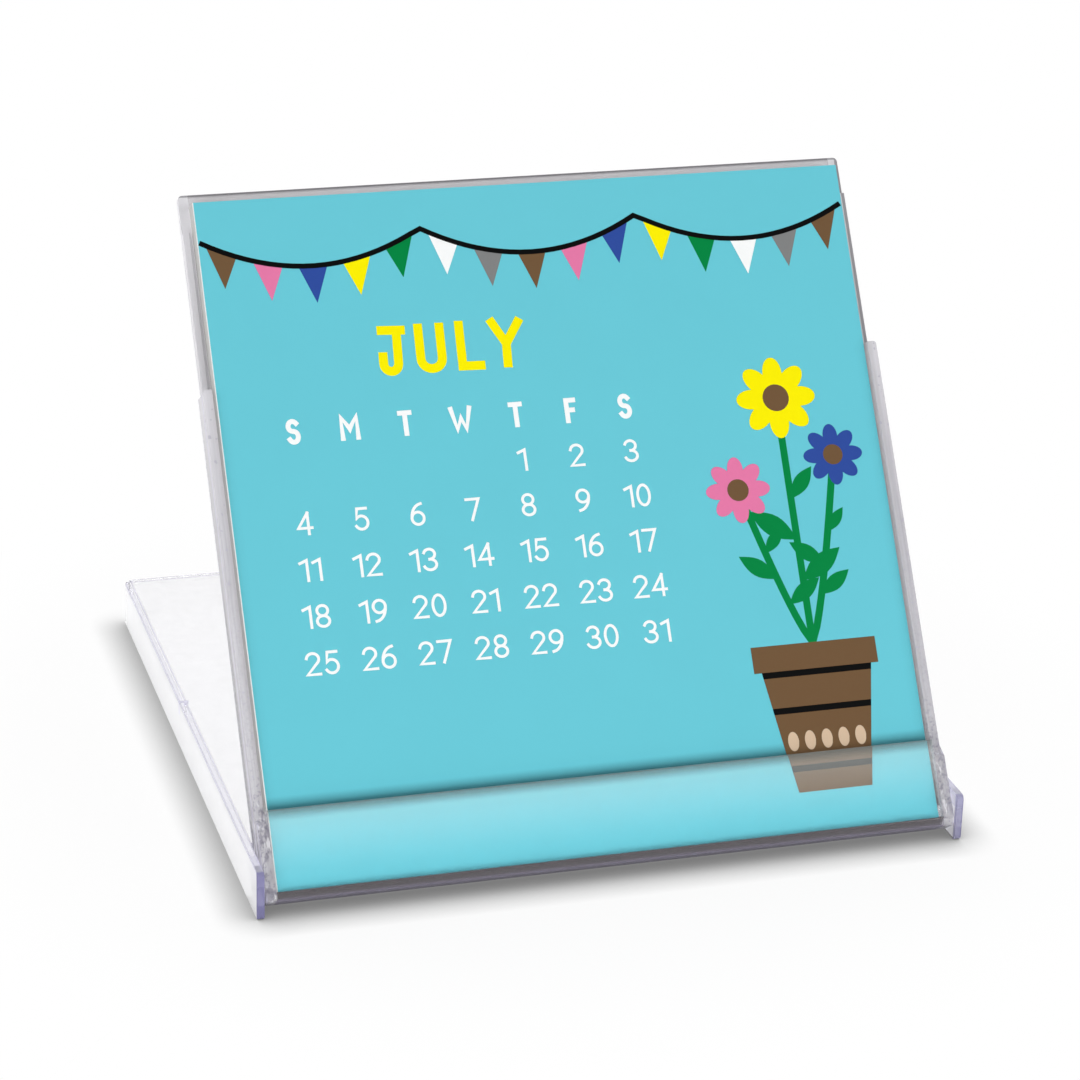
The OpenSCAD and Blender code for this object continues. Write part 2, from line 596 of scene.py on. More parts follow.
@dataclass(frozen=True)
class CardStock:
    """Coated white card, printed all over its front in the month's ground colour.

    The skin of a cut edge and the white trim at the left are in millimetres.
    """

    white: Colour = (0.86, 0.86, 0.84)
    # Grey of the cut edges: the white card's edges darkened with painted shade, as if in the shadow between
    # the cards and the tray.
    cut: Colour = (0.54, 0.54, 0.53)
    cut_skin: float = 0.01
    trim: float = 0.17
    fibre_grain: float = 0.25 * MM
    fibre_depth: float = 0.004 * MM
    fibre_strength: float = 0.4
    fibre_roughness: float = 0.08
    roughness: float = 0.75
    print_gloss: float = 0.3
    cloud_grain: float = 14 * MM
    cloud: float = 0.03
    shine: float = 0.06
    # Reach and steepness of the shade painted on the front card above the lip.
    shade_reach: float = 2.6 * MM
    shade_power: float = 2.2

    def material(self, name: str, face: float, side: float, ends: Point, pitch: float,
                 gap: float) -> Material:
        """Make the one material of all the cards, which takes each card's colour from its place in the stack
        and paints shade on the cut edges and on the front card above the lip.

        Args:
            name: The material's name.
            face: Reach of the front card's face along the cards' outward axis, in millimetres.
            side: Half the cards' width, in millimetres.
            ends: Reach of the cards' lower and upper edges along the cards, in millimetres.
            pitch: Distance from a card to the next one, in millimetres.
            gap: Air between two cards, in millimetres.

        Returns:
            The material.
        """
        material, graph = new_material(name)
        across, out, up = graph.leaning_places()
        steps = (face + gap / 2 - out) / pitch
        place = steps.floor()
        grounds = [linear(colour.value) for colour in CardColour]
        count = len(grounds)
        ramp = graph.node("ShaderNodeValToRGB", {"stops": [(k / count, c) for k, c in enumerate(grounds)]},
                          {0: (place + 0.5) / count})
        ramp.color_ramp.interpolation = "CONSTANT"
        cloud = graph.noise(self.cloud_grain, detail=3.0)
        fibre = graph.noise(self.fibre_grain)
        dark = graph.node("ShaderNodeMix", {"data_type": "RGBA", "blend_type": "MULTIPLY"},
                          {0: self.cloud, 6: ramp.outputs[0], 7: cloud})
        low, high = ends
        on_cut = graph.most(abs(across) > side - self.cut_skin, up < low + self.cut_skin,
                            up > high - self.cut_skin)
        printed = (steps - place < gap / pitch) * (across > self.trim - side) * (1 - on_cut)
        # Cut edges take the grey of painted shade, and the printed face takes the month's ground.
        colour = graph.blend(printed, graph.blend(on_cut, self.white, self.cut), dark.outputs[2])
        # Painted shade: the front card's colour darkens above the lip's edge where little of its surroundings
        # is open.
        above_lip = (place < BELOW_ONE) * printed * (up > lip_top() / MM)
        shade = (1 - graph.open_sky(self.shade_reach, self.shade_power)) * above_lip
        colour = graph.blend(shade, colour, (0, 0, 0))
        paper = graph.node("ShaderNodeBsdfPrincipled", None, {
            "Base Color": colour,
            "Roughness": self.roughness - printed * self.print_gloss + fibre * self.fibre_roughness,
            "Specular IOR Level": self.shine,
            "Normal": graph.bump(fibre, self.fibre_depth, self.fibre_strength),
        })
        graph.node("ShaderNodeOutputMaterial", None, {"Surface": paper.outputs[0]})
        return material


@dataclass(frozen=True)
class PrintingInk:
    """A printed ink, a little uneven in its cover."""

    mottle_grain: float = 0.6 * MM
    mottle: float = 0.05
    roughness: float = 0.45
    rough_mottle: float = 0.08
    shine: float = 0.06
    made: dict[InkColour, Material] = field(default_factory=dict)

    def material(self, colour: InkColour) -> Material:
        """Give an ink's material, made at its first use.

        Args:
            colour: Which ink.

        Returns:
            The material.
        """
        if colour not in self.made:
            self.made[colour] = self.mix(colour)
        return self.made[colour]

    def mix(self, colour: InkColour) -> Material:
        """Make an ink's material.

        Args:
            colour: Which ink.

        Returns:
            The material.
        """
        material, graph = new_material("ink_" + colour.name.lower())
        mottle = graph.noise(self.mottle_grain, detail=3.0)
        full = linear(colour.value)
        thin = tuple(share * (1 - self.mottle) for share in full)
        ink = graph.node("ShaderNodeBsdfPrincipled", None, {
            "Base Color": graph.blend(mottle, full, thin),
            "Roughness": self.roughness + mottle * self.rough_mottle,
            "Specular IOR Level": self.shine,
        })
        graph.node("ShaderNodeOutputMaterial", None, {"Surface": ink.outputs[0]})
        return material


def select_only(*pieces: Piece) -> None:
    """Select some objects and no others.

    Args:
        pieces: The objects, of which the first one becomes the active one.
    """
    bpy.ops.object.select_all(action="DESELECT")
    for piece in pieces:
        piece.select_set(True)
    bpy.context.view_layer.objects.active = pieces[0]


def merged_copy(node: str, name: str, flat_angle: float = math.radians(0.2)) -> Piece:
    """Copy a CAD node's mesh, with its loose triangles merged into whole faces.

    Args:
        node: Name of the node in the frame.
        name: Name of the copy.
        flat_angle: Angle up to which neighbouring faces become one.

    Returns:
        The copy.
    """
    piece = bpy.data.objects.new(name, frame["nodes"][node].data.copy())
    piece.data.name = name
    piece.data.materials.clear()
    bpy.context.scene.collection.objects.link(piece)
    select_only(piece)
    bpy.ops.mesh.customdata_custom_splitnormals_clear()
    bpy.ops.object.mode_set(mode="EDIT")
    bpy.ops.mesh.select_all(action="SELECT")
    bpy.ops.mesh.remove_doubles(threshold=MERGE_DISTANCE)
    bpy.ops.mesh.dissolve_limited(angle_limit=flat_angle)
    bpy.ops.object.mode_set(mode="OBJECT")
    return piece


def round_edges(piece: Piece, radius: float, steps: int = 3, sharp_angle: float = math.radians(35)) -> None:
    """Round a piece's sharp edges and keep its flat faces flat.

    Args:
        piece: The piece.
        radius: Width of the rounding, in metres.
        steps: Number of faces across the rounding.
        sharp_angle: Angle between two faces from which their edge is rounded.
    """
    select_only(piece)
    bpy.ops.object.modifier_add(type="BEVEL")
    bevel = piece.modifiers[-1]
    bevel.width = radius
    bevel.segments = steps
    bevel.limit_method = "ANGLE"
    bevel.angle_limit = sharp_angle
    bevel.miter_outer = "MITER_ARC"
    bpy.ops.object.modifier_apply(modifier=bevel.name)
    bpy.ops.object.shade_smooth()
    bpy.ops.object.modifier_add(type="WEIGHTED_NORMAL")
    bpy.ops.object.modifier_apply(modifier=piece.modifiers[-1].name)


@dataclass
class Moulding:
    """One half of the clear case, moulded in one piece."""

    node: str
    piece_name: str
    edge_radius: float = 0.16 * MM
    finish: ClearPlastic = ClearPlastic()

    def build(self) -> Piece:
        """Model the moulding and hang it on its body.

        Returns:
            The moulding.
        """
        piece = merged_copy(self.node, self.piece_name)
        round_edges(piece, self.edge_radius)
        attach(piece, self.node)
        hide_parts(self.node)
        return piece


@dataclass
class Stand(Moulding):
    """The half of the case that lies flat: plate, walls, arms and hinge pins in one moulding."""

    node: str = "stand"
    piece_name: str = "stand_moulding"
    wall: float = 1.2 * MM
    plate: float = 1.2 * MM
    top_depth: float = 2.4 * MM
    line_half: float = 0.35 * MM
    step_half: float = 0.7 * MM
    step_width: float = 1.8 * MM
    skin: float = 0.05 * MM
    end_depth: float = 0.5 * MM
    end_fade: float = 0.6 * MM
    right_less: float = 0.3
    arm_length: float = 9 * MM
    wall_front: float = 68 * MM
    cloud_grain: float = 2.2 * MM
    frost: Film = Film((0.95, 0.95, 0.96), 0.04, 0.03)
    plate_frost: Film = Film((0.95, 0.95, 0.96), 0.10, 0.03)
    wall_frost: Film = Film((0.96, 0.96, 0.97), 0.60, 0.10)
    edge_violet: Film = Film((0.50, 0.48, 0.64), 0.42, 0.20)
    end_violet: Film = Film((0.19, 0.18, 0.35), 0.88, 0.50)
    arm_violet: Film = Film((0.66, 0.65, 0.80), 0.45, 0.10)
    step_violet: Film = Film((0.52, 0.50, 0.70), 0.55, 0.20)

    def dress(self, piece: Piece) -> None:
        """Give the stand its clear plastic, frosty all over and violet along its edges and ends.

        Args:
            piece: The stand's moulding.
        """
        material, graph = new_material("clear_stand")
        across, depth, height = graph.split(graph.places())
        (_, front, _), (side, rear, top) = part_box(self.node)
        aside = abs(across)
        on_plate = (height > top - self.plate - self.edge_radius) * (aside < side - self.wall)
        edges = graph.most(*(graph.line(value, place, self.line_half) for value, place in (
            (aside, side), (aside, side - self.wall), (depth, rear), (depth, rear - self.wall))))
        arm = depth.rise(front + self.arm_length, front + self.arm_length / 2)
        ends = depth.rise(front + self.end_depth + self.end_fade, front + self.end_depth)
        inside = aside < side - self.skin
        step = graph.line(depth, front + self.wall_front, self.step_half)
        near_top = height > top - self.top_depth
        self.finish.close(graph, self.finish.surface(graph), (
            (self.frost, graph.noise(self.cloud_grain, detail=3.0) / NOISE_MEAN),
            (self.plate_frost, on_plate),
            (self.wall_frost, (1 - inside) * (depth > front + self.end_depth)),
            (self.arm_violet, arm * inside * near_top),
            (self.step_violet, step * near_top * (aside > side - self.step_width)),
            (self.edge_violet, edges * (height > top - self.line_half)),
            (self.end_violet, ends * (1 - (across > 0) * self.right_less)),
        ))
        piece.data.materials.append(material)


@dataclass
class CardTray(Moulding):
    """The leaning half of the case: back plate, rails, floor and lip in one moulding.

    Its own sizes are in millimetres. A pair of heights is counted from the tray's lower end.
    """

    node: str = "card_tray"
    piece_name: str = "tray_moulding"
    skin: float = 0.3
    edge_fade: float = 2.2
    rim: float = 0.35
    back: float = 1.25
    rail: float = 1.6
    rail_edge: float = 0.32
    rib_skin: float = 0.1
    rim_width: float = 1.0
    side_rim_width: float = 0.7
    line_places: tuple[float, ...] = (3.6, 6.2)
    line_half: float = 0.6
    clear_rear: float = 3.0
    clear_share: float = 0.7
    clear_heights: Point = (60.0, 40.0)
    pitted_heights: Point = (70.0, 0.0)
    pit_heights: Point = (24.0, 16.0)
    pit_least: float = 0.4
    blot_heights: Point = (19.2, 12.8)
    right_less: float = 0.5
    foot_rim_heights: Point = (0.7, 0.0)
    foot_least: float = 0.2
    top_length: float = 30.0
    light_length: float = 70.0
    streak_grain: float = 0.5
    streak_length: float = 30.0
    streak_gain: float = 0.6
    streak_least: float = 0.6
    pit_range: Point = (0.52, 0.64)
    blot_spots: Speckle = Speckle(0.9, 0.46, 0.58, length=3.0)
    glint_spots: Speckle = Speckle(0.8, 0.60, 0.70, length=3.0)
    bubble_spots: Speckle = Speckle(0.9, 0.68, 0.73, detail=1.0)
    lip_tint: Colour = (0.86, 0.91, 0.87)
    # Pale layer on the lip, brighter towards its top edge: a painted sheen that lets all lamp light through.
    lip_haze: Film = Film((0.92, 0.95, 0.92), 0.21, 0.0)
    # Dark layer under the lip's top edge: painted shade, which also stops lamp light so that the edge casts a
    # real shadow on the card.
    lip_edge: Film = Film((0.05, 0.07, 0.07), 0.45, 0.92)
    rail_cloud: Film = Film((0.63, 0.62, 0.65), 0.66, 0.08)
    top_light: Film = Film((0.90, 0.89, 0.92), 0.62, 0.10)
    # Grey on the rails, growing towards the cards' edges: painted shade between the rails and the cards.
    rail_inside: Film = Film((0.40, 0.39, 0.40), 0.30, 0.05)
    # Dark line on the ribs' inner faces: painted shade of the gap beside the cards.
    rib_line: Film = Film((0.13, 0.12, 0.13), 0.42, 0.30)
    rail_pits: Film = Film((0.18, 0.17, 0.22), 0.60, 0.20)
    hinge_blots: Film = Film((0.18, 0.17, 0.22), 0.60, 0.10)
    # White spots by the hinge: painted glints, which stop no lamp light.
    hinge_glints: Film = Film((0.95, 0.95, 0.97), 0.50, 0.0)
    bubbles: Film = Film((0.34, 0.33, 0.40), 0.60, 0.10)
    side_rim: Film = Film((0.40, 0.39, 0.46), 0.35, 0.20)
    side_lines: Film = Film((0.54, 0.52, 0.70), 0.36, 0.05)
    right_rim: Film = Film((0.16, 0.15, 0.17), 0.62, 0.10)
    # Grey over the strip above the cards: painted shade seen through the plastic, which also stops some lamp
    # light.
    top_cloud: Film = Film((0.64, 0.62, 0.65), 0.55, 0.35)
    foot_shade: Film = Film((0.13, 0.115, 0.125), 0.68, 0.85)
    foot_rim: Film = Film((0.30, 0.28, 0.36), 0.60, 0.40)
    top_rim: Film = Film((0.12, 0.12, 0.13), 0.60, 0.50)

    def dress(self, piece: Piece) -> None:
        """Give the tray its clear plastic, with a painted sheen on the lip and painted shade under its top
        edge, cloudy pitted rails with painted shade by the cards and painted glints by the hinge, painted
        shade on the strip above the cards, and a foot made dark with painted shade.

        Args:
            piece: The tray's moulding.
        """
        material, graph = new_material("clear_tray")
        across, out, up = graph.leaning_places()
        card = CardColour.JULY.node
        under, top = (reach / MM for reach in span(self.node, UP_CARD))
        card_low, card_top = (reach / MM for reach in span(card, UP_CARD))
        rear, lip_face = (reach / MM for reach in span(self.node, OUT_OF_CARD))
        side = span(self.node, ACROSS)[1] / MM
        card_side = span(card, ACROSS)[1] / MM
        lip_edge = lip_top() / MM
        rails_end = rail_top() / MM

        def low_part(heights: Point) -> Signal:
            """1 at the tray's lower end, falling to 0 between two heights over it."""
            return up.rise(*(under + height for height in heights))

        aside = abs(across)
        inner = side - self.rail
        on_back = out < rear + self.back
        on_rails = graph.most(aside > (card_side + inner) / 2, (aside > card_side) * on_back)
        on_lip = (out > lip_face - self.skin) * (1 - on_rails)
        on_foot = (up < card_low) * (1 - on_rails)
        on_ribs = (abs(aside - inner) < self.rib_skin) * (up > rails_end) * (1 - on_back)
        streaks = graph.noise(self.streak_grain * MM, length=self.streak_length)
        cloudy = streaks * self.streak_gain + self.streak_least
        rear_part = out.rise(rear + self.clear_rear, rear) * low_part(self.clear_heights)
        below_top = up.rise(card_top, card_top - self.top_length)
        pitted = on_rails * low_part(self.pitted_heights)
        pits = graph.noise(self.finish.pit_grain).rise(*self.pit_range)
        at_hinge = on_rails * low_part(self.blot_heights)
        lines = graph.most(*(graph.line(out, rear + place, self.line_half) for place in self.line_places))
        tint = graph.blend(on_lip, (1, 1, 1), self.lip_tint)
        self.finish.close(graph, self.finish.surface(graph, pitted, tint), (
            # Painted sheen on the lip, and painted shade under its top edge.
            (self.lip_haze, on_lip * up.rise(card_low, lip_edge)),
            (self.lip_edge, on_lip * up.rise(lip_edge - self.edge_fade, lip_edge)),
            (self.rail_cloud, on_rails * cloudy * (1 - rear_part * self.clear_share)),
            (self.top_light, on_rails * up.rise(card_top - self.light_length, card_top)),
            # Painted shade on the rails by the cards, and in the gap along the ribs.
            (self.rail_inside, on_rails * below_top * aside.rise(side - self.rail_edge, inner)),
            (self.rib_line, on_ribs),
            (self.rail_pits, pitted * pits * low_part(self.pit_heights).at_least(self.pit_least)),
            (self.bubbles, on_rails * self.bubble_spots.spread(graph) * (up < rails_end)),
            (self.hinge_blots,
             at_hinge * self.blot_spots.spread(graph) * (1 - (across > 0) * self.right_less)),
            # Painted glints by the hinge.
            (self.hinge_glints, at_hinge * self.glint_spots.spread(graph)),
            (self.side_rim, (out < rear + self.rim) * (aside > side - self.side_rim_width)),
            (self.side_lines, on_rails * (aside > side - self.skin) * (up < rails_end) * lines),
            (self.right_rim, (across > side - self.rim_width) * (up > rails_end)),
            # Painted shade above the cards and on the foot.
            (self.top_cloud, (up > card_top) * (1 - on_rails)),
            (self.foot_shade, on_foot * up.rise(under - self.rim, card_low).at_least(self.foot_least)),
            (self.foot_rim, on_foot * low_part(self.foot_rim_heights)),
            (self.top_rim, up > top - self.rim),
        ))
        piece.data.materials.append(material)


def bow(x: float, y: float, half_w: float, half_h: float, start: float, stop: float,
        pitch: float = 15.0, fewest: int = 4) -> Outline:
    """Points along an arc of an ellipse.

    Args:
        x: Middle of the ellipse.
        y: Middle of the ellipse.
        half_w: Half its width.
        half_h: Half its height.
        start: Angle of the first point, in degrees anticlockwise from the right.
        stop: Angle of the last point.
        pitch: Angle from a point to the next one, in degrees.
        fewest: Least number of steps.

    Returns:
        The points.
    """
    steps = max(fewest, round(abs(stop - start) / pitch))
    angles = [math.radians(start + (stop - start) * k / steps) for k in range(steps + 1)]
    return [(x + half_w * math.cos(angle), y + half_h * math.sin(angle)) for angle in angles]


def oval(x: float, y: float, half_w: float, half_h: float, last: float = 345.0) -> Outline:
    """Outline of an ellipse.

    Args:
        x: Its middle.
        y: Its middle.
        half_w: Half its width.
        half_h: Half its height.
        last: Angle of the last point, from which the outline goes straight back to the first one.

    Returns:
        The points.
    """
    return bow(x, y, half_w, half_h, 0, last)


@dataclass(frozen=True)
class Skeleton:
    """Middle lines of a letter's or number's strokes, one unit high."""

    width: float
    strokes: tuple[Outline, ...]

    def turned(self) -> "Skeleton":
        """The same skeleton turned half round."""
        strokes = tuple([(self.width - x, 1 - y) for x, y in stroke] for stroke in self.strokes)
        return Skeleton(self.width, strokes)


def bowl_of_p(width: float) -> Outline:
    """The upper bowl that P, R and B share."""
    return [(0, 1), *bow(width - 0.22, 0.76, 0.22, 0.24, 90, -90), (0, 0.52)]


SIX = Skeleton(0.50, (bow(0.25, 0.30, 0.25, 0.30, 0, 360), bow(0.46, 0.30, 0.46, 0.70, 95, 178)))

SKELETONS: dict[str, Skeleton] = {
    "0": Skeleton(0.50, (bow(0.25, 0.5, 0.25, 0.5, 90, 450),)),
    "1": Skeleton(0.28, ([(0.0, 0.84), (0.28, 0.97), (0.28, 0.0)],)),
    "2": Skeleton(0.52, ([*bow(0.26, 0.73, 0.25, 0.27, 170, -35), (0.0, 0.0), (0.52, 0.0)],)),
    "3": Skeleton(0.50, (bow(0.24, 0.755, 0.23, 0.245, 160, -90), bow(0.24, 0.255, 0.26, 0.255, 90, -160))),
    "4": Skeleton(0.56, ([(0.42, 0.0), (0.42, 1.0)], [(0.42, 1.0), (0.0, 0.28), (0.56, 0.28)])),
    "5": Skeleton(0.50, ([(0.47, 1.0), (0.10, 1.0), (0.05, 0.52), *bow(0.24, 0.32, 0.26, 0.32, 120, -150)],)),
    "6": SIX,
    "7": Skeleton(0.52, ([(0.0, 1.0), (0.52, 1.0), (0.18, 0.0)],)),
    "8": Skeleton(0.50, (bow(0.25, 0.755, 0.22, 0.245, -90, 270), bow(0.25, 0.255, 0.25, 0.255, 90, 450))),
    "9": SIX.turned(),
    "A": Skeleton(0.54, ([(0.0, 0.0), (0.27, 1.0), (0.54, 0.0)], [(0.09, 0.3), (0.45, 0.3)])),
    "B": Skeleton(0.46, ([(0, 0), (0, 1)], bowl_of_p(0.42),
                         [(0, 0.52), *bow(0.20, 0.26, 0.26, 0.26, 90, -90), (0, 0)])),
    "C": Skeleton(0.46, (bow(0.24, 0.5, 0.24, 0.5, 45, 315),)),
    "D": Skeleton(0.48, ([(0, 0), (0, 1), *bow(0.12, 0.5, 0.36, 0.5, 90, -90), (0, 0)],)),
    "E": Skeleton(0.38, ([(0.38, 1), (0, 1), (0, 0), (0.38, 0)], [(0, 0.5), (0.31, 0.5)])),
    "F": Skeleton(0.34, ([(0.34, 1), (0, 1), (0, 0)], [(0, 0.52), (0.27, 0.52)])),
    "G": Skeleton(0.48, ([*bow(0.24, 0.5, 0.24, 0.5, 45, 360), (0.26, 0.47)],)),
    "H": Skeleton(0.46, ([(0, 0), (0, 1)], [(0.46, 0), (0.46, 1)], [(0, 0.5), (0.46, 0.5)])),
    "I": Skeleton(0.0, ([(0, 0), (0, 1)],)),
    "J": Skeleton(0.40, ([(0.0, 1), (0.44, 1)],
                         [(0.34, 1), (0.34, 0.2), *bow(0.17, 0.19, 0.17, 0.19, 0, -180), (0.0, 0.36)])),
    "L": Skeleton(0.42, ([(0, 1), (0, 0), (0.42, 0)],)),
    "M": Skeleton(0.70, ([(0, 0), (0, 1), (0.35, 0.42), (0.70, 1), (0.70, 0)],)),
    "N": Skeleton(0.50, ([(0, 0), (0, 1), (0.50, 0), (0.50, 1)],)),
    "O": Skeleton(0.50, (bow(0.25, 0.5, 0.25, 0.5, 90, 450),)),
    "P": Skeleton(0.42, ([(0, 0), (0, 1)], bowl_of_p(0.42))),
    "R": Skeleton(0.46, ([(0, 0), (0, 1)], bowl_of_p(0.42), [(0.2, 0.5), (0.46, 0.0)])),
    "S": Skeleton(0.42, ([*bow(0.21, 0.76, 0.20, 0.24, 35, 262), *bow(0.21, 0.26, 0.21, 0.26, 82, -150)],)),
    "T": Skeleton(0.44, ([(0, 1), (0.44, 1)], [(0.22, 1), (0.22, 0)])),
    "U": Skeleton(0.49, ([(0, 1), *bow(0.245, 0.245, 0.245, 0.245, 180, 360), (0.49, 1)],)),
    "V": Skeleton(0.54, ([(0, 1), (0.27, 0), (0.54, 1)],)),
    "W": Skeleton(0.86, ([(0, 1), (0.22, 0), (0.43, 0.56), (0.64, 0), (0.86, 1)],)),
    "Y": Skeleton(0.60, ([(0, 1), (0.30, 0.48), (0.60, 1)], [(0.30, 0.5), (0.30, 0)])),
}


def ribbon_sides(path: Outline, half: float, longest_corner: float = 1.9) -> list[tuple[Vector, Vector]]:
    """Work out the two sides of a stroke of even width, with its corners mitred.

    Args:
        path: Points of the middle line. It is closed if it ends where it starts.
        half: Half the stroke's width.
        longest_corner: Longest mitre, in half widths.

    Returns:
        The right and the left side's point at each point of the path.
    """
    points = [Vector(point) for point in path]
    closed = (points[0] - points[-1]).length < SAME_PLACE
    sides = []
    for place, point in enumerate(points):
        first, last = place == 0, place == len(points) - 1
        before = points[-2] if first and closed else points[max(place - 1, 0)]
        after = points[1] if last and closed else points[min(place + 1, len(points) - 1)]
        ways = [way.normalized() for way in (point - before, after - point)
                if way.length > SAME_PLACE]
        along = (ways[0] + ways[-1]).normalized()
        left = Vector((-along.y, along.x))
        reach = half / max(along.dot(ways[0]), 1 / longest_corner)
        sides.append((point - left * reach, point + left * reach))
    return sides


@dataclass
class PrintShop:
    """Makes thin flat inked shapes in the XY plane, in millimetres from a card's top left corner."""

    ink: PrintingInk = field(default_factory=PrintingInk)
    thickness: float = 0.004
    weld: float = 0.001
    first_lift: float = 0.002
    layer_step: float = 0.005
    coat_step: float = 0.0002
    coats: int = 11
    drawn: int = 0

    def finish(self, shape: Piece, colour: InkColour, layer: int) -> Piece:
        """Give a flat shape its thickness, its layer and its ink.

        Args:
            shape: Flat mesh whose points are in millimetres.
            colour: Its ink.
            layer: How many inks lie under it.

        Returns:
            The shape, as a thin closed solid.
        """
        select_only(shape)
        bpy.ops.object.mode_set(mode="EDIT")
        bpy.ops.mesh.select_all(action="SELECT")
        bpy.ops.mesh.remove_doubles(threshold=self.weld)
        bpy.ops.mesh.extrude_region_move(TRANSFORM_OT_translate={"value": (0, 0, self.thickness)})
        bpy.ops.mesh.select_all(action="SELECT")
        bpy.ops.mesh.normals_make_consistent(inside=False)
        bpy.ops.object.mode_set(mode="OBJECT")
        lift = self.first_lift + self.layer_step * layer + self.next_coat()
        shape.data.transform(Matrix.Translation((0, 0, lift)))
        shape.data.materials.append(self.ink.material(colour))
        return shape

    def next_coat(self) -> float:
        """Give a slight lift that differs from the last shapes' ones, so that no two inked faces coincide."""
        self.drawn += 1
        return self.coat_step * (self.drawn % self.coats)

    def ribbon(self, path: Outline, width: float, colour: InkColour, layer: int = 0) -> Piece:
        """Draw a stroke of even width along a path.

        Args:
            path: Points of the middle line.
            width: The stroke's width.
            colour: Its ink.
            layer: How many inks lie under it.

        Returns:
            The stroke.
        """
        sides = ribbon_sides(path, width / 2)
        steps = len(path) - 1
        bpy.ops.mesh.primitive_grid_add(x_subdivisions=steps, y_subdivisions=1, size=2)
        strip = bpy.context.object
        for vertex in strip.data.vertices:
            right, left = sides[round((vertex.co.x + 1) / 2 * steps)]
            vertex.co = (left if vertex.co.y > 0 else right).to_3d()
        return self.finish(strip, colour, layer)

    def patch(self, outline: Outline, colour: InkColour, layer: int = 0) -> Piece:
        """Fill an outline.

        Args:
            outline: Its points, in order.
            colour: Its ink.
            layer: How many inks lie under it.

        Returns:
            The filled shape.
        """
        bpy.ops.mesh.primitive_circle_add(vertices=len(outline), radius=1, fill_type="NGON")
        shape = bpy.context.object
        for vertex, point in zip(shape.data.vertices, outline):
            vertex.co = (*point, 0)
        return self.finish(shape, colour, layer)

    def copy(self, shape: Piece, x: float, y: float, turn: float = 0.0) -> Piece:
        """Copy a shape to another place, with its own mesh.

        Args:
            shape: The shape, modelled round its own origin.
            x: Where its origin goes.
            y: Where its origin goes.
            turn: Angle by which it is turned, in degrees.

        Returns:
            The copy.
        """
        made = shape.copy()
        made.data = shape.data.copy()
        place = Matrix.Translation((x, y, self.next_coat()))
        made.data.transform(place @ Matrix.Rotation(math.radians(turn), 4, "Z"))
        bpy.context.scene.collection.objects.link(made)
        return made


@dataclass
class Pen:
    """A size and weight of lettering, in millimetres. Each letter is modelled once and then copied."""

    height: float
    stroke: float
    colour: InkColour
    spacing: float
    breadth: float = 1.0
    turns: tuple[float, ...] = (0.0,)
    tighter: dict[str, float] = field(default_factory=dict)
    masters: dict[str, Piece] = field(default_factory=dict)

    @property
    def scale(self) -> float:
        """Height of a skeleton under the stroke."""
        return self.height - self.stroke

    def width(self, letter: str) -> float:
        """Inked width of a letter."""
        return SKELETONS[letter].width * self.scale * self.breadth + self.stroke

    def gap(self, pair: str) -> float:
        """Room between two letters, which is less for the pairs that are set tighter."""
        return self.spacing - self.tighter.get(pair, 0.0)

    def master(self, shop: PrintShop, letter: str) -> Piece:
        """Give the model of a letter, centred on its own origin.

        Args:
            shop: Where it is made, at its first use.
            letter: The letter or number.

        Returns:
            The letter, which isn't in the scene.
        """
        if letter not in self.masters:
            skeleton = SKELETONS[letter]
            shift = skeleton.width / 2
            wide = self.scale * self.breadth
            paths = [[((x - shift) * wide, (y - 0.5) * self.scale) for x, y in path]
                     for path in skeleton.strokes]
            strokes = [shop.ribbon(self.run_out(path), self.stroke, self.colour) for path in paths]
            select_only(*strokes)
            bpy.ops.object.join()
            made = strokes[0]
            made.name = "letter_" + letter
            bpy.context.scene.collection.objects.unlink(made)
            self.masters[letter] = made
        return self.masters[letter]

    def run_out(self, path: Outline) -> Outline:
        """Lengthen an open path by half a stroke at both ends, so that its ends are square.

        Args:
            path: The middle line, in millimetres.

        Returns:
            The longer middle line.
        """
        points = [Vector(point) for point in path]
        if (points[0] - points[-1]).length < SAME_PLACE:
            return path
        start = points[0] + (points[0] - points[1]).normalized() * self.stroke / 2
        stop = points[-1] + (points[-1] - points[-2]).normalized() * self.stroke / 2
        return [tuple(start), *path[1:-1], tuple(stop)]

    def write(self, shop: PrintShop, word: str, x: float, y: float) -> list[Piece]:
        """Write a word centred on a place.

        Args:
            shop: Where its letters are made.
            word: The word or number.
            x: Its middle.
            y: Its middle.

        Returns:
            The letters.
        """
        gaps = [self.gap(word[place:place + 2]) for place in range(len(word) - 1)]
        left = x - (sum(self.width(letter) for letter in word) + sum(gaps)) / 2
        letters = []
        for place, (letter, gap) in enumerate(zip(word, gaps + [0.0])):
            turn = self.turns[place % len(self.turns)]
            letters.append(shop.copy(self.master(shop, letter), left + self.width(letter) / 2, y, turn))
            left += self.width(letter) + gap
        return letters


@dataclass(frozen=True)
class Flower:
    """A flower's place beside and over the middle of the pot's rim, and its size, in millimetres."""

    lean: float
    height: float
    size: float


@dataclass(frozen=True)
class Leaf:
    """A leaf's step on its stem, its direction in degrees and its length in millimetres."""

    step: int
    turn: float
    length: float


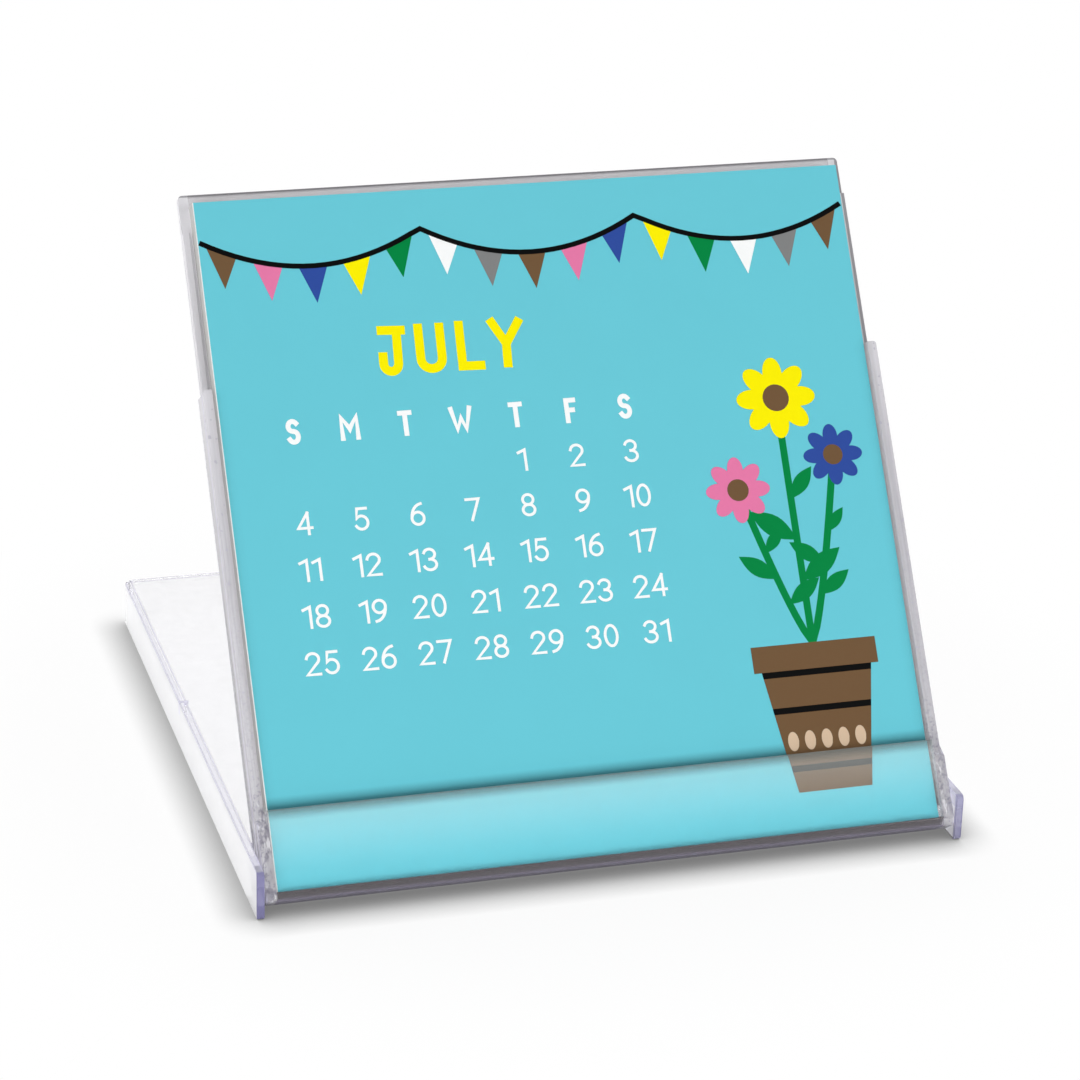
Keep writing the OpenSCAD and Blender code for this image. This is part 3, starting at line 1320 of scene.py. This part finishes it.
@dataclass
class PotPlant:
    """A generic picture for a card: a flowering plant in a banded pot, in millimetres.

    The shoulder is a share of the rim's width, and bands and spots lie at shares of the height from the rim
    to the foot. A petal's and a heart's sizes are shares of the flower's size, and a leaf's length is that on
    a flower of the size leaf_flower.
    """

    shop: PrintShop
    middle: float = 99.5
    rim_y: float = -86.0
    rim_w: float = 23.0
    rim_h: float = 4.6
    shoulder: float = 0.44
    pot_h: float = 26.0
    foot_w: float = 13.5
    band_h: float = 1.1
    bands: tuple[float, ...] = (0.30, 0.78)
    spots: int = 5
    spot_place: float = 0.58
    spot_spread: float = 1.9
    spot_half: Point = (1.0, 1.7)
    spot_last: float = 330.0
    stem_w: float = 1.3
    stem_steps: int = 12
    stem_bow: float = 0.8
    flowers: tuple[Flower, ...] = (Flower(0.0, 44.0, 7.2), Flower(-9.5, 28.0, 5.8), Flower(9.0, 33.0, 5.4))
    petal_count: int = 8
    petal_out: float = 0.62
    petal_half: Point = (0.40, 0.25)
    heart: float = 0.34
    leaves: tuple[Leaf, ...] = (Leaf(3, 35, 9.0), Leaf(5, 145, 9.5), Leaf(7, 50, 7.0))
    leaf_flower: float = 7.0
    leaf_half: float = 0.19
    leaf_steps: int = 10

    def petals(self, x: float, y: float, size: float, colour: InkColour) -> Iterator[Piece]:
        """Draw a flower.

        Args:
            x: Its middle.
            y: Its middle.
            size: Its size.
            colour: The petals' ink.

        Yields:
            Its petals and its heart.
        """
        half_l, half_w = (size * share for share in self.petal_half)
        petal = self.shop.patch(oval(size * self.petal_out, 0, half_l, half_w), colour, 2)
        for step in range(self.petal_count):
            yield self.shop.copy(petal, x, y, 360 * step / self.petal_count)
        bpy.data.objects.remove(petal)
        heart = size * self.heart
        yield self.shop.patch(oval(x, y, heart, heart), InkColour.BROWN, 3)

    def leaf(self, x: float, y: float, length: float, turn: float) -> Piece:
        """Draw a leaf that starts at a place on a stem.

        Args:
            x: Where it starts.
            y: Where it starts.
            length: Its length.
            turn: Its direction, in degrees anticlockwise from the right.

        Returns:
            The leaf.
        """
        steps = self.leaf_steps
        half_w = length * self.leaf_half
        lower = [(length * k / steps, -half_w * math.sin(math.pi * k / steps)) for k in range(steps)]
        upper = [(length * k / steps, half_w * math.sin(math.pi * k / steps)) for k in range(steps, 0, -1)]
        blade = self.shop.patch(lower + upper, InkColour.GREEN, 1)
        placed = self.shop.copy(blade, x, y, turn)
        bpy.data.objects.remove(blade)
        return placed

    def pot(self) -> Iterator[Piece]:
        """Draw the pot, with its dark bands and a row of spots.

        Yields:
            The pot's wall, its rim, the bands and the spots.
        """
        top = self.rim_y - self.rim_h
        foot = top - self.pot_h + self.rim_h
        shoulder = self.rim_w * self.shoulder

        def half_at(y: float) -> float:
            """Half the pot's width at a height."""
            return shoulder + (self.foot_w / 2 - shoulder) * (top - y) / (top - foot)

        def slice_of(high: float, low: float) -> Outline:
            """Outline of the pot between two heights."""
            return [(self.middle - half_at(high), high), (self.middle - half_at(low), low),
                    (self.middle + half_at(low), low), (self.middle + half_at(high), high)]

        half_rim = self.rim_w / 2
        yield self.shop.patch(slice_of(top, foot), InkColour.BROWN, 1)
        yield self.shop.patch([(self.middle - half_rim, self.rim_y), (self.middle - half_rim, top),
                               (self.middle + half_rim, top), (self.middle + half_rim, self.rim_y)],
                              InkColour.BROWN, 2)
        yield self.shop.patch(slice_of(top, top - self.band_h), InkColour.BLACK, 3)
        for share in self.bands:
            high = top + (foot - top) * share
            yield self.shop.patch(slice_of(high, high - self.band_h), InkColour.BLACK, 2)
        spot_y = top + (foot - top) * self.spot_place
        spread = half_at(spot_y) * self.spot_spread
        for place in range(self.spots):
            x = self.middle + spread * ((place + 0.5) / self.spots - 0.5)
            yield self.shop.patch(oval(x, spot_y, *self.spot_half, self.spot_last), InkColour.TAN, 2)

    def stem(self, flower: Flower) -> Outline:
        """Lay out a flower's stem.

        Args:
            flower: The flower at its end.

        Returns:
            Points of the stem, from the pot's rim to the flower's middle.
        """
        steps = self.stem_steps
        return [(self.middle + flower.lean * (k / steps) ** self.stem_bow,
                 self.rim_y + flower.height * k / steps) for k in range(steps + 1)]

    def draw(self, colours: Sequence[InkColour]) -> list[Piece]:
        """Draw the pot and a stem with leaves for each flower.

        Args:
            colours: The flowers' inks, at least one for each flower.

        Returns:
            All the inked shapes.
        """
        shapes = list(self.pot())
        for colour, flower in zip(colours, self.flowers):
            stem = self.stem(flower)
            shapes.append(self.shop.ribbon(stem, self.stem_w, InkColour.GREEN))
            for leaf in self.leaves:
                length = leaf.length * flower.size / self.leaf_flower
                shapes.append(self.leaf(*stem[leaf.step], length, leaf.turn))
            shapes += self.petals(*stem[-1], flower.size, colour)
        return shapes


@dataclass
class Bunting:
    """A generic picture for a card's top: a row of pennants on a slack line, in millimetres."""

    shop: PrintShop
    width: float
    top: float = -7.0
    slack: float = 5.5
    swags: int = 3
    flags: int = 5
    line_w: float = 0.9
    line_steps: int = 60
    edge: float = 0.4
    flag_w: float = 5.2
    flag_h: float = 6.6

    def line_at(self, x: float) -> Point:
        """Point of the line at a distance from the card's left edge."""
        share = (x / self.width * self.swags) % 1
        return x, self.top - self.slack * (1 - (2 * share - 1) ** 2)

    def draw(self, colours: Sequence[InkColour]) -> list[Piece]:
        """Draw the line and its pennants.

        Args:
            colours: The pennants' inks, used in turn.

        Returns:
            All the inked shapes.
        """
        length = self.width - 2 * self.edge
        steps = self.line_steps
        line = [self.line_at(self.edge + length * k / steps) for k in range(steps + 1)]
        shapes = [self.shop.ribbon(line, self.line_w, InkColour.BLACK, 2)]
        count = self.swags * self.flags
        for place in range(count):
            x = self.width * (place + 0.5) / count
            left, right = self.line_at(x - self.flag_w / 2), self.line_at(x + self.flag_w / 2)
            tip = (x, self.line_at(x)[1] - self.flag_h)
            shapes.append(self.shop.patch([left, tip, right], colours[place % len(colours)], 1))
        return shapes


def from_turn(colours: tuple[InkColour, ...], turn: int) -> tuple[InkColour, ...]:
    """Start a row of colours further on, with the colours before that at its end.

    Args:
        colours: The colours.
        turn: How many places further on. It may be more than there are colours.

    Returns:
        The turned row.
    """
    start = turn % len(colours)
    return colours[start:] + colours[:start]


@dataclass
class MonthCards:
    """The stack of month cards, each with its title, its weekdays, its dates and its picture.

    Places on a card are in millimetres from its top left corner.
    """

    year: int = 2021
    weekdays: str = "SMTWTFS"
    grid_left: float = 12.5
    column_pitch: float = 9.85
    title_y: float = -28.5
    weekday_y: float = -41.4
    first_row_y: float = -49.4
    row_pitch: float = 8.02
    gap: float = 0.03
    stock: CardStock = CardStock()
    shop: PrintShop = field(default_factory=PrintShop)
    title_pen: Pen = field(default_factory=lambda: Pen(
        height=8.9, stroke=1.6, colour=InkColour.YELLOW, spacing=1.9, breadth=1.06,
        turns=(-2.8, -1.5, -1.5), tighter={"LY": 0.9}))
    weekday_pen: Pen = field(default_factory=lambda: Pen(
        height=4.5, stroke=0.86, colour=InkColour.WHITE, spacing=0.5, breadth=1.05))
    date_pen: Pen = field(default_factory=lambda: Pen(
        height=4.1, stroke=0.5, colour=InkColour.WHITE, spacing=0.55, breadth=1.18))
    pennants: tuple[InkColour, ...] = (
        InkColour.BROWN, InkColour.PINK, InkColour.BLUE, InkColour.YELLOW, InkColour.GREEN,
        InkColour.WHITE, InkColour.GREY)
    flowers: tuple[InkColour, ...] = (InkColour.YELLOW, InkColour.PINK, InkColour.BLUE, InkColour.WHITE)

    def dress(self) -> None:
        """Give the cards their paper."""
        first, second = list(CardColour)[:2]
        face = span(first.node, OUT_OF_CARD)[1]
        pitch = face - span(second.node, OUT_OF_CARD)[1]
        side = span(first.node, ACROSS)[1] / MM
        ends = tuple(reach / MM for reach in span(first.node, UP_CARD))
        paper = self.stock.material("printed_card", face / MM, side, ends, pitch / MM, self.gap)
        for month in CardColour:
            frame["nodes"][month.node].material_slots[0].material = paper

    def face_of(self, month: CardColour) -> Matrix:
        """Placing of a card's print.

        Args:
            month: Which card.

        Returns:
            The matrix from millimetres on the card, measured from its top left corner, to the row frame.
        """
        corner = (ACROSS * span(month.node, ACROSS)[0] + UP_CARD * span(month.node, UP_CARD)[1]
                  + OUT_OF_CARD * span(month.node, OUT_OF_CARD)[1])
        axes = Matrix((ACROSS, UP_CARD, OUT_OF_CARD)).transposed().to_4x4()
        return Matrix.Translation(corner) @ axes @ Matrix.Scale(MM, 4)

    def grid(self, month: CardColour) -> list[Piece]:
        """Write a month's title, weekdays and dates.

        Args:
            month: Which month.

        Returns:
            The letters and numbers.
        """
        columns = [self.grid_left + self.column_pitch * place for place in range(len(self.weekdays))]
        middle = (columns[0] + columns[-1]) / 2
        letters = self.title_pen.write(self.shop, month.name, middle, self.title_y)
        for x, weekday in zip(columns, self.weekdays):
            letters += self.weekday_pen.write(self.shop, weekday, x, self.weekday_y)
        number = list(calendar.month_name).index(month.name.capitalize())
        weeks = calendar.Calendar(calendar.SUNDAY).monthdayscalendar(self.year, number)
        for row, week in enumerate(weeks):
            y = self.first_row_y - self.row_pitch * row
            for x, day in zip(columns, week):
                if day:
                    letters += self.date_pen.write(self.shop, str(day), x, y)
        return letters

    def picture(self, month: CardColour) -> list[Piece]:
        """Draw a month's picture, with its colours in an order of its own.

        Args:
            month: Which month.

        Returns:
            The inked shapes.
        """
        turn = list(CardColour).index(month)
        low, high = span(month.node, ACROSS)
        shapes = Bunting(self.shop, (high - low) / MM).draw(from_turn(self.pennants, turn))
        return shapes + PotPlant(self.shop).draw(from_turn(self.flowers, turn))

    def build(self) -> list[Piece]:
        """Print every card and hang the print on the card's body.

        Returns:
            The prints, one piece for each card.
        """
        prints = []
        for month in CardColour:
            shapes = self.grid(month) + self.picture(month)
            select_only(*shapes)
            bpy.ops.object.join()
            piece = bpy.context.object
            piece.name = "print_" + month.name.lower()
            piece.data.name = piece.name
            piece.data.transform(self.face_of(month))
            piece.data.update()
            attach(piece, month.node)
            prints.append(piece)
        return prints


@dataclass(frozen=True)
class Lamp:
    """A large soft lamp that shines towards the calendar.

    The clear plastic lets it through as a shadow's share, so refracted rays don't count it once more.
    """

    name: str
    place: tuple[float, float, float]
    side: float
    watts: float

    def build(self, aim: Vector) -> None:
        """Put the lamp up.

        Args:
            aim: Point that it faces.
        """
        bpy.ops.object.light_add(type="AREA", location=self.place)
        lamp = bpy.context.object
        lamp.name = self.name
        lamp.data.shape = "SQUARE"
        lamp.data.size = self.side
        lamp.data.energy = self.watts
        lamp.visible_transmission = False
        lamp.rotation_euler = (aim - Vector(self.place)).to_track_quat("-Z", "Y").to_euler()


@dataclass(frozen=True)
class PhotoCamera:
    """The camera, where the photograph was taken from, in millimetres and degrees."""

    lens: float = 116.58
    sensor: float = 36.0
    yaw: float = 16.87
    pitch: float = -22.50
    roll: float = 1.61
    place: tuple[float, float, float] = (-166.9, -561.3, 279.6)

    def build(self) -> None:
        """Put the camera up and make it the scene's own."""
        yaw, pitch, roll = (math.radians(angle) for angle in (self.yaw, self.pitch, self.roll))
        ahead = Vector((math.sin(yaw) * math.cos(pitch), math.cos(yaw) * math.cos(pitch), math.sin(pitch)))
        level = Vector((math.cos(yaw), -math.sin(yaw), 0))
        upright = level.cross(ahead)
        right = level * math.cos(roll) + upright * math.sin(roll)
        up = upright * math.cos(roll) - level * math.sin(roll)
        bpy.ops.object.camera_add()
        camera = bpy.context.object
        camera.data.lens = self.lens
        camera.data.sensor_width = self.sensor
        turn = Matrix((right, up, -ahead)).transposed().to_4x4()
        camera.matrix_world = Matrix.Translation(Vector(self.place) * MM) @ turn
        bpy.context.scene.camera = camera


@dataclass
class Studio:
    """White floor, white surroundings, soft lamps and the camera."""

    floor_side: float = 6.0
    floor_colour: Colour = (0.86, 0.86, 0.86)
    floor_glow: float = 0.90
    shadow_reach: tuple[float, float] = (0.075, 0.13)
    # Reach, steepness and darkest share of the floor's painted contact shade.
    contact_reach: float = 7.4 * MM
    contact_power: float = 1.6
    contact_dark: float = 0.18
    plate_behind: float = 5 * MM
    ambient: float = 0.25
    walls: float = 1.0
    ceiling: float = 0.28
    ceiling_rise: tuple[float, float] = (0.25, 0.65)
    lamps: tuple[Lamp, ...] = (
        Lamp("key_lamp", (-0.75, -1.15, 0.36), 0.70, 9.3),
        Lamp("fill_lamp", (0.85, -1.05, 0.36), 0.70, 7.4),
        Lamp("rear_lamp", (0.0, 0.57, 0.84), 0.35, 5.9),
        Lamp("left_lamp", (-1.25, 0.15, 0.30), 0.60, 5.3),
        Lamp("right_lamp", (1.25, 0.15, 0.30), 0.60, 5.3),
    )

    def build(self) -> None:
        """Set up everything round the calendar."""
        bpy.context.scene.view_settings.view_transform = "Standard"
        self.build_world()
        self.build_floor()
        aim = (CAD_LOW + CAD_HIGH) / 2
        for lamp in self.lamps:
            lamp.build(aim)
        PhotoCamera().build()

    def build_world(self) -> None:
        """Light the room evenly, and show it white with a darker ceiling."""
        world = bpy.data.worlds.new("white_room")
        world.use_nodes = True
        bpy.context.scene.world = world
        graph = Graph(world.node_tree)
        _, _, height = graph.split(graph.node("ShaderNodeTexCoord").outputs["Generated"])
        light, walls, ceiling = (graph.node("ShaderNodeBackground", None, {"Strength": strength}).outputs[0]
                                 for strength in (self.ambient, self.walls, self.ceiling))
        shown = graph.layered(height.rise(*self.ceiling_rise), walls, ceiling)
        both = graph.layered(graph.seen_rays(), light, shown)
        graph.node("ShaderNodeOutputWorld", None, {"Surface": both})

    def build_floor(self) -> None:
        """Lay the floor, which keeps the calendar's shadow, takes a painted contact shade near it and fades
        to white away from it.
        """
        bpy.ops.mesh.primitive_plane_add(size=self.floor_side)
        floor = bpy.context.object
        floor.name = "floor"
        material, graph = new_material("white_floor")
        away = graph.node("ShaderNodeVectorMath", {"operation": "LENGTH"}, {0: graph.places()})
        far = Signal(graph, away.outputs["Value"]).rise(*self.shadow_reach)
        across, depth, _ = graph.split(graph.places())
        plate_front = joint_named("tray_hinge")["pos_m"][1] + self.plate_behind
        under_plate = (abs(across) < CAD_HIGH.x) * (depth > plate_front) * (depth < CAD_HIGH.y)
        # Painted contact shade: the floor's colour and glow darken where little of the surroundings is open,
        # except under the plate.
        lit = graph.most(graph.open_sky(self.contact_reach, self.contact_power), under_plate)
        shaded = tuple(share * self.contact_dark for share in self.floor_colour)
        matt = graph.node("ShaderNodeBsdfDiffuse", None,
                          {"Color": graph.blend(lit, shaded, self.floor_colour)})
        glow = graph.node("ShaderNodeEmission", None,
                          {"Color": graph.blend(lit, (self.contact_dark,) * 3, (1, 1, 1))})
        share = graph.seen_rays() * far.at_least(self.floor_glow)
        both = graph.layered(share, matt.outputs[0], glow.outputs[0])
        graph.node("ShaderNodeOutputMaterial", None, {"Surface": both})
        floor.data.materials.append(material)


def report(piece: Piece) -> None:
    """Log a piece's name and its number of faces."""
    log.info("%s: %d faces", piece.name, len(piece.data.polygons))


def main() -> None:
    """Build and dress the calendar, set up the studio and report each piece."""
    logging.basicConfig(level=logging.INFO, format="%(message)s")
    for moulding in (Stand(), CardTray()):
        piece = moulding.build()
        moulding.dress(piece)
        report(piece)
    cards = MonthCards()
    cards.dress()
    for piece in cards.build():
        report(piece)
    Studio().build()


if __name__ == "__main__":
    main()
